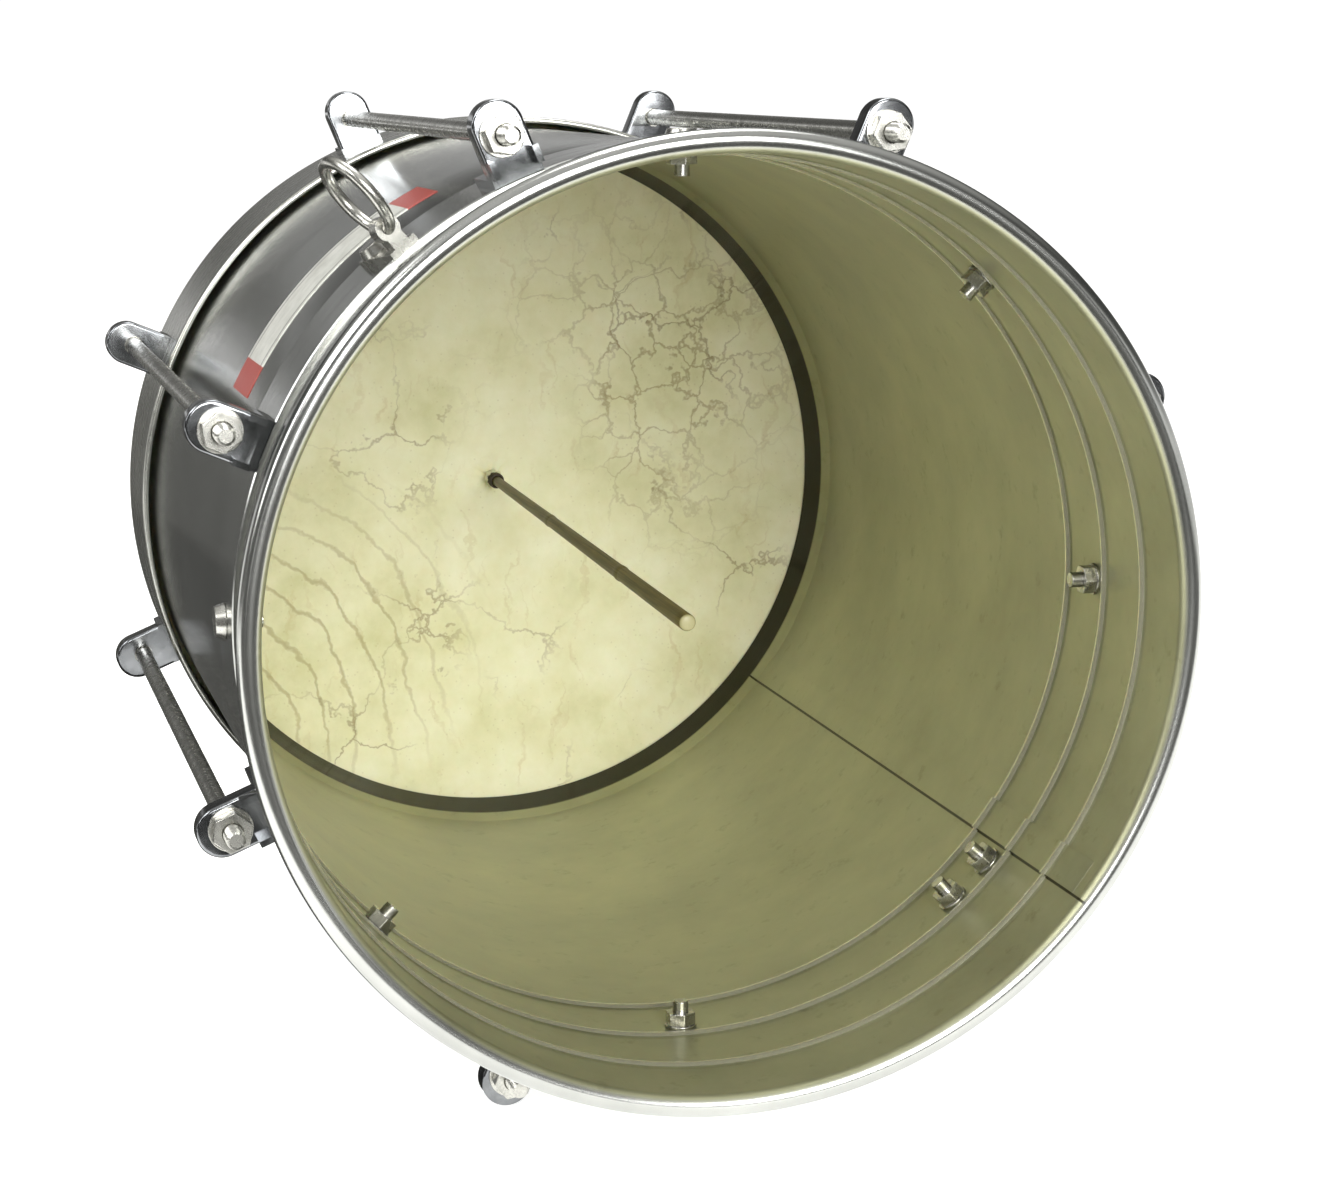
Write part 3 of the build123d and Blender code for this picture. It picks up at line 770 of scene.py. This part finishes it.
# %% Skin
hide, tree, shader, place = new_material("scraped_goat_rawhide")
bend = add(tree, "ShaderNodeTexNoise", {
    "Vector": place, "Scale": 1 / (26 * MM), "Detail": 5.0, "Roughness": 0.6}).outputs[1]
shift = add(
    tree, "ShaderNodeVectorMath", {0: bend, 1: (0.5, 0.5, 0.5)}, operation="SUBTRACT").outputs[0]
warp = add(tree, "ShaderNodeVectorMath", {
    0: shift, 1: (34 * MM, 34 * MM, 34 * MM), 2: place}, operation="MULTIPLY_ADD").outputs[0]
half_warp = add(tree, "ShaderNodeVectorMath", {
    0: shift, 1: (16 * MM, 16 * MM, 16 * MM), 2: place}, operation="MULTIPLY_ADD").outputs[0]
cells = add(tree, "ShaderNodeTexVoronoi", {
    "Vector": warp, "Scale": 1 / (44 * MM)}, feature="DISTANCE_TO_EDGE").outputs[0]
small_cells = add(tree, "ShaderNodeTexVoronoi", {
    "Vector": warp, "Scale": 1 / (15 * MM)}, feature="DISTANCE_TO_EDGE").outputs[0]
patch = add(tree, "ShaderNodeTexNoise", {
    "Vector": place, "Scale": 1 / (52 * MM), "Detail": 3.0}).outputs[0]
pores = add(tree, "ShaderNodeTexVoronoi", {
    "Vector": place, "Scale": 1 / (2.6 * MM)}, feature="F1").outputs[0]
cloud = add(tree, "ShaderNodeTexNoise", {
    "Vector": place, "Scale": 1 / (30 * MM), "Detail": 6.0, "Roughness": 0.62}).outputs[0]
fibre_place = add(tree, "ShaderNodeMapping", {
    "Vector": warp, "Rotation": (0, 0.35, 0), "Scale": (260.0, 1.0, 34.0)}).outputs[0]
fibre = add(
    tree, "ShaderNodeTexNoise", {"Vector": fibre_place, "Scale": 1.0, "Detail": 5.0}).outputs[0]
base = add(tree, "ShaderNodeValToRGB", {0: cloud}, stops=[
    (0.30, "#CDCC98"), (0.48, "#DCDBB0"), (0.70, "#E8E8C8")]).outputs[0]
vein_line = remap(tree, cells, (0.014, 0.003))
vein_show = remap(tree, patch, (0.47, 0.60), (0.0, 0.55))
vein = maths(tree, "MULTIPLY", vein_line, vein_show)
crack_line = remap(tree, small_cells, (0.045, 0.008))
dry_away = add(tree, "ShaderNodeVectorMath", {
    0: place, 1: (52 * MM, HEAD_Y, AXIS_Z + 30 * MM)}, operation="DISTANCE").outputs["Value"]
dry_zone = remap(tree, dry_away, (70 * MM, 20 * MM), (0.0, 0.55))
crack_show = remap(tree, patch, (0.36, 0.52))
crack_show = maths(tree, "MULTIPLY", crack_show, dry_zone)
crack = maths(tree, "MULTIPLY", crack_line, crack_show)
stretch_place = add(tree, "ShaderNodeVectorMath", {
    0: half_warp, 1: (-118 * MM, HEAD_Y, AXIS_Z - 92 * MM)}, operation="SUBTRACT").outputs[0]
stretch = add(tree, "ShaderNodeTexWave", {
    "Vector": stretch_place, "Scale": 30.0, "Distortion": 1.1, "Detail": 2.0,
    "Detail Scale": 0.8}, wave_type="RINGS", rings_direction="SPHERICAL").outputs[1]
crease_line = remap(tree, stretch, (0.06, 0.0))
low_away = add(tree, "ShaderNodeVectorMath", {
    0: place, 1: (-58 * MM, HEAD_Y, AXIS_Z - 52 * MM)}, operation="DISTANCE").outputs["Value"]
low_zone = remap(tree, low_away, (60 * MM, 22 * MM), (0.0, 0.55))
crease = maths(tree, "MULTIPLY", crease_line, low_zone)
fibre_show = remap(tree, fibre, (0.60, 0.74), (0.0, 0.35))
fibred = blend(tree, fibre_show, base, "#B9A768")
cracked = blend(tree, crack, fibred, "#8F7B45")
creased = blend(tree, crease, cracked, "#9C8E58")
veined = blend(tree, vein, creased, "#857145")
pore_dots = remap(tree, pores, (0.16, 0.05), (0.0, 0.22))
dotted = blend(tree, pore_dots, veined, "#9C8A56")
relief = maths(tree, "ADD", vein, crack)
relief = maths(tree, "ADD", relief, crease)
relief = maths(tree, "SUBTRACT", fibre, relief)
bump = add(tree, "ShaderNodeBump", {"Height": relief, "Strength": 0.35, "Distance": 0.25 * MM})
gloss = remap(tree, cloud, (0.0, 1.0), (0.42, 0.62))
tree.links.new(dotted, shader.inputs["Base Color"])
tree.links.new(gloss, shader.inputs["Roughness"])
tree.links.new(bump.outputs[0], shader.inputs["Normal"])
shader.inputs["IOR"].default_value = 1.5
shader.inputs["Subsurface Weight"].default_value = 0.25
shader.inputs["Subsurface Radius"].default_value = (1.0, 0.6, 0.3)
shader.inputs["Subsurface Scale"].default_value = 1.2 * MM
wear(skin, hide)
wear(pinch, hide)

# %% [markdown]
# ### Bamboo
# Split bamboo is straight-grained and waxy. Rubbing with a damp cloth has darkened this stick
# to olive brown, and only its cut tip is pale.

# %% Bamboo
bamboo, tree, shader, place = new_material("oiled_bamboo")
grain_place = add(tree, "ShaderNodeMapping", {
    "Vector": place, "Scale": (1 / (0.45 * MM), 1 / (28 * MM), 1 / (0.45 * MM))}).outputs[0]
grain = add(tree, "ShaderNodeTexNoise", {
    "Vector": grain_place, "Scale": 1.0, "Detail": 5.0, "Roughness": 0.6}).outputs[0]
blotch = add(tree, "ShaderNodeTexNoise", {
    "Vector": place, "Scale": 1 / (18 * MM), "Detail": 4.0}).outputs[0]
wood = add(tree, "ShaderNodeValToRGB", {0: grain}, stops=[
    (0.32, "#4A3F1E"), (0.5, "#6E6134"), (0.68, "#8A7C48")]).outputs[0]
stain = remap(tree, blotch, (0.4, 0.7), (0.0, 0.5))
stained = blend(tree, stain, wood, "#51471F")
away = add(tree, "ShaderNodeSeparateXYZ", {0: place}).outputs["Y"]
cut = remap(
    tree, away, (OPEN_Y + STICK_TIP + 0.9 * MM, OPEN_Y + STICK_TIP + 0.3 * MM), (0.0, 0.85))
tipped = blend(tree, cut, stained, "#8F8B64")
ridge = add(tree, "ShaderNodeBump", {"Height": grain, "Strength": 0.3, "Distance": 0.1 * MM})
tree.links.new(tipped, shader.inputs["Base Color"])
tree.links.new(ridge.outputs[0], shader.inputs["Normal"])
shader.inputs["Roughness"].default_value = 0.42
wear(stick, bamboo)

# %% Waxed thread
thread, tree, shader, place = new_material("waxed_linen_thread")
twist_place = add(tree, "ShaderNodeMapping", {
    "Vector": place, "Rotation": (0.5, 0.6, 0.4), "Scale": (1 / (0.3 * MM),) * 3}).outputs[0]
twist = add(
    tree, "ShaderNodeTexNoise", {"Vector": twist_place, "Scale": 1.0, "Detail": 3.0}).outputs[0]
dye = add(tree, "ShaderNodeValToRGB", {0: twist}, stops=[
    (0.35, "#241C12"), (0.65, "#4B3D28")]).outputs[0]
ply = add(tree, "ShaderNodeBump", {"Height": twist, "Strength": 0.5, "Distance": 0.1 * MM})
tree.links.new(dye, shader.inputs["Base Color"])
tree.links.new(ply.outputs[0], shader.inputs["Normal"])
shader.inputs["Roughness"].default_value = 0.5
wear(binding, thread)

# %% [markdown]
# ### The label
# A printed foil label is stuck on the shell. It is kept plain: a pale field with two red ends
# and thin rules along its edges, and no lettering.

# %% Label
label_low, label_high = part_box("label")
LABEL_MIDDLE = (station(label_low[1]) + station(label_high[1])) / 2
LABEL_HALF = (label_high[1] - label_low[1]) / 2
LABEL_ANGLE = -134.0
LABEL_ARC = math.radians(LABEL_ANGLE) * OUTER_R
LABEL_HALF_ARC = 37.0 * MM
LABEL_END = 9 * MM
RULE_INSET, RULE_HALF = 3 * MM, 0.4 * MM
foil, tree, shader, place = new_material("printed_foil_label")
drum = round_place(tree, place)
side = maths(tree, "SUBTRACT", drum["along"], LABEL_MIDDLE)
side = maths(tree, "ABSOLUTE", side)
reach = maths(tree, "SUBTRACT", drum["length"], LABEL_ARC)
reach = maths(tree, "ABSOLUTE", reach)
rule = maths(tree, "COMPARE", side, LABEL_HALF - RULE_INSET, RULE_HALF)
ends = maths(tree, "GREATER_THAN", reach, LABEL_HALF_ARC - LABEL_END)
scuff = add(tree, "ShaderNodeTexNoise", {
    "Vector": place, "Scale": 1 / (6 * MM), "Detail": 6.0, "Roughness": 0.7}).outputs[0]
field = add(tree, "ShaderNodeValToRGB", {0: scuff}, stops=[
    (0.3, "#B9B9AF"), (0.6, "#D6D6CE")]).outputs[0]
ruled = blend(tree, rule, field, "#4A4A46")
ended = blend(tree, ends, ruled, "#A8443A")
tree.links.new(ended, shader.inputs["Base Color"])
shader.inputs["Roughness"].default_value = 0.35
shader.inputs["Metallic"].default_value = 0.2
wear(nodes["label"], foil)

# %% [markdown]
# ## Floor, light and camera
# A polished cylinder shows what stands round it, so the light matters as much as the steel.
# The drum lies on a white table lit from below, in a room with dark walls and a pale ceiling.
# The camera itself sees plain white where it looks past the table. One soft box looks into
# the open end, a small one catches the beads, and two more draw highlights along the top.

# %% Floor
FLOOR_HALF = 9.0
floor_bm = bmesh.new()
bmesh.ops.create_grid(floor_bm, x_segments=1, y_segments=1, size=FLOOR_HALF)
floor = finish_mesh("floor", floor_bm)
table_top, tree, shader, place = new_material("white_light_table")
shader.inputs["Base Color"].default_value = linear("#F6F6F4")
shader.inputs["Roughness"].default_value = 0.9
shader.inputs["Emission Color"].default_value = linear("#FFFFFF")
shader.inputs["Emission Strength"].default_value = 0.72
wear(floor, table_top)

# %% Room
world = bpy.data.worlds.new("studio")
bpy.context.scene.world = world
world.use_nodes = True
sky = world.node_tree.nodes["Background"]
toward = add(world.node_tree, "ShaderNodeTexCoord").outputs["Generated"]
height = add(world.node_tree, "ShaderNodeSeparateXYZ", {0: toward}).outputs["Z"]
room = add(world.node_tree, "ShaderNodeValToRGB", {0: height}, stops=[
    (0.0, "#FFFFFF"), (0.10, "#FFFFFF"), (0.20, "#5C5C5A"), (0.42, "#3E3E3D"),
    (0.58, "#8E8E8C"), (0.80, "#D2D2D0")]).outputs[0]
seen = add(world.node_tree, "ShaderNodeLightPath").outputs["Is Camera Ray"]
backdrop = blend(world.node_tree, seen, room, "#FFFFFF")
world.node_tree.links.new(backdrop, sky.inputs["Color"])
sky.inputs["Strength"].default_value = 1.05
bpy.context.scene.view_settings.view_transform = "Standard"

# %% Lights
MIDDLE = (0.0, 0.0, AXIS_Z)


def soft_box(name, place, target, width, height, power):
    """Area light at a place, turned towards a target."""
    data = bpy.data.lights.new(name, "AREA")
    data.shape = "RECTANGLE"
    data.size = width
    data.size_y = height
    data.energy = power
    lamp = bpy.data.objects.new(name, data)
    bpy.context.scene.collection.objects.link(lamp)
    lamp.location = place
    aim = Vector(target) - Vector(place)
    lamp.rotation_euler = aim.to_track_quat("-Z", "Y").to_euler()
    return lamp


soft_box("front_box", (0.08, -1.6, 0.62), MIDDLE, 0.8, 0.8, 29)
soft_box("bead_light", (-0.85, -0.65, 0.85), MIDDLE, 0.35, 0.35, 3.5)
soft_box("left_strip", (-1.2, -0.2, 0.9), MIDDLE, 0.25, 1.1, 6)
soft_box("top_box", (0.15, 0.2, 1.6), MIDDLE, 0.6, 0.9, 12)

# %% [markdown]
# A polished part in an all-white room looks like milk glass. Photographers stand dark cards,
# called flags, round it, so that the metal has something dark to show. The camera looks along
# the shell, so the shell mostly reflects what stands behind it: two cards there leave a bright
# slot between them, which draws one long streak. Cards in front and at the left darken the
# rim, the brackets and the bolt heads. These flags are seen only in reflections.

# %% Flags
card_grey, tree, shader, place = new_material("dark_felt_flag")
shader.inputs["Base Color"].default_value = linear("#4A4A48")
shader.inputs["Roughness"].default_value = 1.0
shader.inputs["Specular IOR Level"].default_value = 0.0


def flag(name, corner, across, up):
    """Dark card from a corner along two edge vectors, seen only in glossy reflections."""
    card_bm = bmesh.new()
    low = Vector(corner)
    edge, rise = Vector(across), Vector(up)
    corners = (low, low + edge, low + edge + rise, low + rise)
    card_bm.faces.new([card_bm.verts.new(point) for point in corners])
    card = finish_mesh(name, card_bm)
    card.visible_camera = False
    card.visible_diffuse = False
    card.visible_shadow = False
    card.visible_transmission = False
    wear(card, card_grey)
    return card


flag("back_low_flag", (-0.75, 0.9, 0.0), (1.15, 0, 0), (0, 0, 0.20))
flag("back_high_flag", (-0.75, 0.9, 0.235), (1.15, 0, 0), (0, 0, 0.095))
flag("table_flag", (-0.75, -0.1, 0.003), (0.70, 0, 0), (0, 1.0, 0))
flag("front_table_flag", (-1.5, -1.9, 0.003), (3.0, 0, 0), (0, 1.6, 0))
flag("front_flag", (-2.0, -2.4, 0.0), (4.0, 0, 0), (0, 0, 0.5))
flag("left_flag", (-1.6, -1.6, 0.0), (0, 2.3, 0), (0, 0, 0.6))

# %% Camera
FOCAL_LENGTH, SENSOR_WIDTH = 80.0, 36.0
CAMERA_PLACE = Vector((-198.2 * MM, OPEN_Y - 654.5 * MM, AXIS_Z + 133.8 * MM))
LOOK = Vector((0.2576, 0.9495, -0.1792))
camera_data = bpy.data.cameras.new("camera")
camera_data.lens = FOCAL_LENGTH
camera_data.sensor_width = SENSOR_WIDTH
camera = bpy.data.objects.new("camera", camera_data)
bpy.context.scene.collection.objects.link(camera)
camera.location = CAMERA_PLACE
camera.rotation_euler = LOOK.to_track_quat("-Z", "Y").to_euler()
bpy.context.scene.camera = camera
